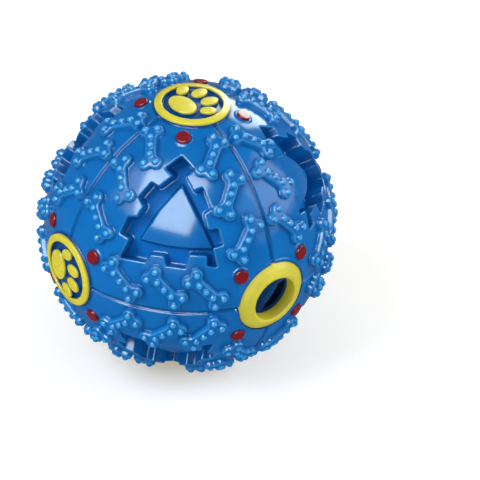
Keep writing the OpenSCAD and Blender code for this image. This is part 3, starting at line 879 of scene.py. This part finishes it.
def sockets():
    """The rings, open at two notches, and the ribs that hold the sound tube's caps."""
    outer = SOCKET_R + SOCKET_T
    ring = [
        (SOCKET_R, SOCKET_Z, SOCKET_EDGE), (outer, SOCKET_Z, SOCKET_EDGE),
        (outer, CAP_Z, 0), (SOCKET_R, CAP_Z, 0),
    ]
    collar = [(SOCKET_R, CAP_Z), (outer, CAP_Z), (outer, SOCKET_TOP), (SOCKET_R, SOCKET_TOP)]
    pieces = [lathe(fillet(ring), 96)]
    for first in (-math.pi / 2, math.pi / 2):
        pieces.append(lathe(collar, 40, first + NOTCH_HALF, math.pi - 2 * NOTCH_HALF))
    spans = (RIB_FROM_R, outer - RIB_INSET), (-RIB_HALF, RIB_HALF), (CAP_Z, SOCKET_TOP + RIB_OVER)
    rib = np.array([(x, y, z) for x in spans[0] for y in spans[1] for z in spans[2]])
    box = [[0, 1, 3, 2], [4, 6, 7, 5], [0, 4, 5, 1], [2, 3, 7, 6], [0, 2, 6, 4], [1, 5, 7, 3]]
    for a in np.radians([45, 135, 225, 315]):
        pieces.append(Piece(rib @ turn_z(a).T, box))
    for place in ("top", "bottom"):
        socket = turned_to(place, join(pieces))
        obj = new_object(f"{place}_cap_socket", *socket, SHADED_INNER_BLUE)
        dress(obj, "ball_vinyl", "front_shell", "rear_shell")


# The ball's blue, and the painted highlights and painted shade laid over it: an attribute, the greatest
# share, the range and the colour
BALL_COLOUR = (0.002, 0.150, 0.475)
PAINTED_LIGHT_AND_SHADE = [
    # painted highlight along the bones' shoulders and the recess's rounded rims
    ("edge", 0.6, (0.0, 1.0), (0.05, 0.34, 0.70)),
    # painted highlight: the beads' tops lighter
    ("bead", 0.85, (0.1, 0.8), (0.05, 0.36, 0.72)),
    # painted shade round bones, bead feet, studs and rings, and in the grooves
    ("contact", 0.75, (0.0, 1.0), (0.001, 0.04, 0.19)),
    # painted shade on the recess's walls
    ("trench", 0.35, (0.0, 1.0), (0.001, 0.055, 0.26)),
]
CLOUD_SHARES = (0.94, 1.06)


class Shader:
    """A material whose colour, roughness and surface come from noise in the object's own space."""

    def __init__(self, name, roughness, **fixed):
        self.material = bpy.data.materials.new(name)
        self.material.use_nodes = True
        self.tree = self.material.node_tree
        self.principled = self.tree.nodes["Principled BSDF"]
        self.principled.inputs["Roughness"].default_value = roughness
        for key, value in fixed.items():
            self.principled.inputs[key.replace("_", " ")].default_value = value
        self.coordinates = self.node("ShaderNodeTexCoord").outputs["Object"]

    def node(self, kind, **values):
        node = self.tree.nodes.new(kind)
        for key, value in values.items():
            setattr(node, key, value)
        return node

    def noise(self, size_mm):
        node = self.node("ShaderNodeTexNoise")
        node.inputs["Scale"].default_value = 1 / (size_mm * MM)
        node.inputs["Detail"].default_value = 3.0
        self.tree.links.new(self.coordinates, node.inputs["Vector"])
        return node.outputs["Fac"]

    def spread(self, source, low, high, start=0.3, end=0.7):
        """The source's range from start to end as a range from low to high."""
        node = self.node("ShaderNodeMapRange")
        for key, value in zip(("From Min", "From Max", "To Min", "To Max"), (start, end, low, high)):
            node.inputs[key].default_value = value
        self.tree.links.new(source, node.inputs["Value"])
        return node.outputs["Result"]

    def mix(self, share, a, b):
        """Colours a and b, each a tuple or a socket, mixed by a share from a to b."""
        node = self.node("ShaderNodeMix", data_type="RGBA")
        self.tree.links.new(share, node.inputs[0])
        for socket, value in ((node.inputs[6], a), (node.inputs[7], b)):
            if isinstance(value, tuple):
                socket.default_value = (*value, 1)
            else:
                self.tree.links.new(value, socket)
        return node.outputs[2]

    def paint(self, source):
        self.tree.links.new(source, self.principled.inputs["Base Color"])

    def rough(self, source):
        self.tree.links.new(source, self.principled.inputs["Roughness"])

    def bump(self, source, depth_mm):
        node = self.node("ShaderNodeBump")
        node.inputs["Distance"].default_value = depth_mm * MM
        node.inputs["Strength"].default_value = 1.0
        self.tree.links.new(source, node.inputs["Height"])
        self.tree.links.new(node.outputs["Normal"], self.principled.inputs["Normal"])

    def attribute(self, name):
        return self.node("ShaderNodeAttribute", attribute_name=name).outputs["Fac"]

    def clouds(self, colour, size_mm):
        """A colour that varies a little from place to place."""
        darker, lighter = (tuple(c * share for c in colour) for share in CLOUD_SHARES)
        return self.mix(self.spread(self.noise(size_mm), 0, 1), darker, lighter)


def moulded(name, colour, roughness, mottle_mm=9.0, grain_mm=0.5, depth_mm=0.004, **fixed):
    """A plain moulded plastic: faint clouds of colour and gloss, and a fine orange-peel surface."""
    shader = Shader(name, roughness, **fixed)
    shader.paint(shader.clouds(colour, mottle_mm))
    shader.rough(shader.spread(shader.noise(mottle_mm * 0.4), roughness * 0.85, roughness * 1.2))
    shader.bump(shader.noise(grain_mm), depth_mm)
    return shader.material


def ball_material():
    shader = Shader("blue_vinyl", 0.14, Specular_IOR_Level=0.2)
    source = shader.clouds(BALL_COLOUR, 11.0)
    # Painted highlights and painted shade from the mesh's attributes, over the ball's blue
    for name, most, (start, end), tint in PAINTED_LIGHT_AND_SHADE:
        source = shader.mix(shader.spread(shader.attribute(name), 0, most, start, end), source, tint)
    shader.paint(source)
    shader.bump(shader.noise(0.7), 0.003)
    return shader.material


BLUE = ball_material()
DULL_BLUE = moulded("blue_vinyl_in_recess", (0.001, 0.165, 0.56), 0.55, Specular_IOR_Level=0.02)
# Painted shade: a darker copy of the ball's blue for the cavity, the hole's sleeve and the sockets, for the
# shade inside the ball
SHADED_INNER_BLUE = moulded("blue_vinyl_inside_painted_shade", (0.012, 0.065, 0.19), 0.5, Specular_IOR_Level=0.1)
# Painted shade: a darker copy of the ball's blue on the badges' floors, ribs and bosses, for the shade
# inside the rings
SHADED_BADGE_BLUE = moulded("blue_vinyl_badge_painted_shade", (0.001, 0.075, 0.27), 0.25, Specular_IOR_Level=0.2)
YELLOW = moulded("yellow_vinyl", (0.65, 0.58, 0.035), 0.25, Specular_IOR_Level=0.3)
GROMMET = moulded("yellow_grommet_vinyl", (0.61, 0.55, 0.04), 0.4, depth_mm=0.002, Specular_IOR_Level=0.25)
RED = moulded("red_vinyl", (0.19, 0.006, 0.013), 0.18, Specular_IOR_Level=0.25)
shells(BLUE, DULL_BLUE, SHADED_INNER_BLUE)
badges()
grommet()
studs()
sockets()

INNER_MATERIALS = {
    "sound_tube": moulded("milky_polypropylene", (0.70, 0.72, 0.72), 0.32, Transmission_Weight=0.25),
    "top_tube_cap": moulded("white_polypropylene", (0.83, 0.83, 0.80), 0.42),
    "top_bumper": moulded("dark_foam", (0.032, 0.032, 0.034), 0.9, grain_mm=0.7, depth_mm=0.12),
    "slider_body": moulded("ivory_plastic", (0.78, 0.74, 0.60), 0.45),
    "slider_weight": moulded("plated_steel", (0.55, 0.56, 0.58), 0.3, grain_mm=0.2, Metallic=1.0),
    "reed_plate": moulded("tan_plastic", (0.54, 0.40, 0.20), 0.5),
    "reed_tongue": moulded("rolled_brass", (0.72, 0.50, 0.16), 0.22, grain_mm=0.15, Metallic=1.0),
    "upper_wiper_seal": moulded("black_silicone", (0.012, 0.012, 0.012), 0.6),
}
SAME_MATERIAL = {
    "bottom_tube_cap": "top_tube_cap", "bottom_bumper": "top_bumper", "weight_retainer": "slider_body",
    "reed_cover": "slider_body", "reed_clamp": "reed_plate", "lower_wiper_seal": "upper_wiper_seal",
}
for name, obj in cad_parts.items():
    key = SAME_MATERIAL.get(name, name)
    if key in INNER_MATERIALS:
        for slot in obj.material_slots:
            slot.material = INNER_MATERIALS[key]

# The camera: its direction in degrees, its distance in metres and the photograph's frame in pixels
AZIMUTH, ELEVATION, ROLL = -36.82, 36.48, math.radians(2.53)
DISTANCE, FOCAL_PX = 0.7456, 1866.0
CENTRE_PX = (187.2, 222.6)
FRAME_PX, SENSOR_MM = 480, 36.0

# Lamps: azimuth, elevation, distance and size in metres, radiance, and whether they make only gloss
LAMPS = {
    "key": (-95, 45, 1.0, (0.6, 0.6), 5.0, False),
    "softbox_gloss": (-60, 52, 1.01, (0.9, 0.9), 26, True),
    "fill": (55, 30, 1.2, (0.8, 0.8), 3.8, False),
    "low_fill": (-50, 5, 1.2, (0.8, 0.5), 1.8, False),
    "fill_gloss": (45, 26, 1.2, (1.1, 0.8), 2.2, True),
    "rim_gloss": (122, 28, 1.2, (0.6, 0.5), 16, True),
}
GLOSS_TINT = (0.90, 1.0, 0.92)
GLOW_PLACE, GLOW_R, GLOW_POWER = (0.02, -0.025, -0.02), 0.006, 0.005
# The world's strength as light, in gloss and to the camera
WORLD_LIGHT, WORLD_GLOSS, WORLD_SEEN = 0.5, 0.2, 1.0
# The floor's colour as light, in gloss and to the camera, which also sees a little glow
FLOOR_LIGHT, FLOOR_GLOSS, FLOOR_SEEN = (0.8, 0.8, 0.8), (0.2, 0.2, 0.2), (0.80, 0.85, 1.0)
FLOOR_GLOW, FLOOR_HALF = (0.39, 0.35, 0.20), 3.0


def direction(azimuth, elevation):
    """From the ball's centre, by degrees round from the treat hole and up."""
    a, e = math.radians(azimuth), math.radians(elevation)
    return Vector((math.sin(a) * math.cos(e), -math.cos(a) * math.cos(e), math.sin(e)))


def camera():
    back = direction(AZIMUTH, ELEVATION)
    turn = math.radians(AZIMUTH)
    right = Vector((math.cos(turn), math.sin(turn), 0))
    up = back.cross(right)
    r = math.cos(ROLL) * right + math.sin(ROLL) * up
    u = -math.sin(ROLL) * right + math.cos(ROLL) * up
    data = bpy.data.cameras.new("camera")
    data.sensor_width = SENSOR_MM
    data.lens = FOCAL_PX / FRAME_PX * SENSOR_MM
    data.shift_x = (FRAME_PX / 2 - CENTRE_PX[0]) / FRAME_PX
    data.shift_y = (CENTRE_PX[1] - FRAME_PX / 2) / FRAME_PX
    obj = bpy.data.objects.new("camera", data)
    bpy.context.scene.collection.objects.link(obj)
    obj.matrix_world = Matrix.Translation(back * DISTANCE) @ Matrix((r, u, back)).transposed().to_4x4()
    bpy.context.scene.camera = obj


def area_light(name, azimuth, elevation, distance, size, radiance, gloss_only):
    """A rectangular lamp that faces the ball, of a given radiance."""
    data = bpy.data.lights.new(name, "AREA")
    data.shape = "RECTANGLE"
    data.size, data.size_y = size
    data.energy = radiance * math.pi * size[0] * size[1]
    obj = bpy.data.objects.new(name, data)
    bpy.context.scene.collection.objects.link(obj)
    obj.visible_camera = False
    obj.visible_diffuse = not gloss_only
    data.color = GLOSS_TINT if gloss_only else (1, 1, 1)
    obj.location = direction(azimuth, elevation) * distance
    obj.rotation_euler = obj.location.to_track_quat("Z", "Y").to_euler()


def inside_glow():
    """The little daylight that the soft wall lets through to the inside."""
    data = bpy.data.lights.new("inside_glow", "POINT")
    data.energy = GLOW_POWER
    data.shadow_soft_size = GLOW_R
    obj = bpy.data.objects.new("inside_glow", data)
    bpy.context.scene.collection.objects.link(obj)
    obj.visible_camera = obj.visible_glossy = False
    obj.location = GLOW_PLACE


def stage():
    """A pale floor under the ball. The camera sees it white, with a faint grey shadow."""
    shader = Shader("pale_floor", 0.7, Specular_IOR_Level=0.0)
    path = shader.node("ShaderNodeLightPath")
    seen = path.outputs["Is Camera Ray"]
    plain = shader.mix(path.outputs["Is Glossy Ray"], FLOOR_LIGHT, FLOOR_GLOSS)
    shader.paint(shader.mix(seen, plain, FLOOR_SEEN))
    glow = shader.mix(seen, (0.0, 0.0, 0.0), FLOOR_GLOW)
    shader.tree.links.new(glow, shader.principled.inputs["Emission Color"])
    shader.principled.inputs["Emission Strength"].default_value = 1.0
    z, w = -PAW_Z * MM, FLOOR_HALF
    mesh = bpy.data.meshes.new("floor")
    mesh.from_pydata([(-w, -w, z), (w, -w, z), (w, w, z), (-w, w, z)], [], [(0, 1, 2, 3)])
    mesh.materials.append(shader.material)
    obj = bpy.data.objects.new("floor", mesh)
    bpy.context.scene.collection.objects.link(obj)


def surroundings():
    """A white room: full white where the camera sees it, dimmer as a light and in the gloss."""
    world = bpy.data.worlds.new("world")
    world.use_nodes = True
    tree = world.node_tree
    path = tree.nodes.new("ShaderNodeLightPath")
    strength = tree.nodes["Background"].inputs["Strength"]
    tree.nodes["Background"].inputs["Color"].default_value = (1, 1, 1, 1)
    source = None
    for ray, value in (("Is Glossy Ray", WORLD_GLOSS), ("Is Camera Ray", WORLD_SEEN)):
        mix = tree.nodes.new("ShaderNodeMix")
        mix.inputs[2].default_value = WORLD_LIGHT
        mix.inputs[3].default_value = value
        tree.links.new(path.outputs[ray], mix.inputs[0])
        if source:
            tree.links.new(source, mix.inputs[2])
        source = mix.outputs[0]
    tree.links.new(source, strength)
    bpy.context.scene.world = world


camera()
stage()
surroundings()
for name, lamp in LAMPS.items():
    area_light(name, *lamp)
inside_glow()
bpy.context.scene.view_settings.view_transform = "Standard"
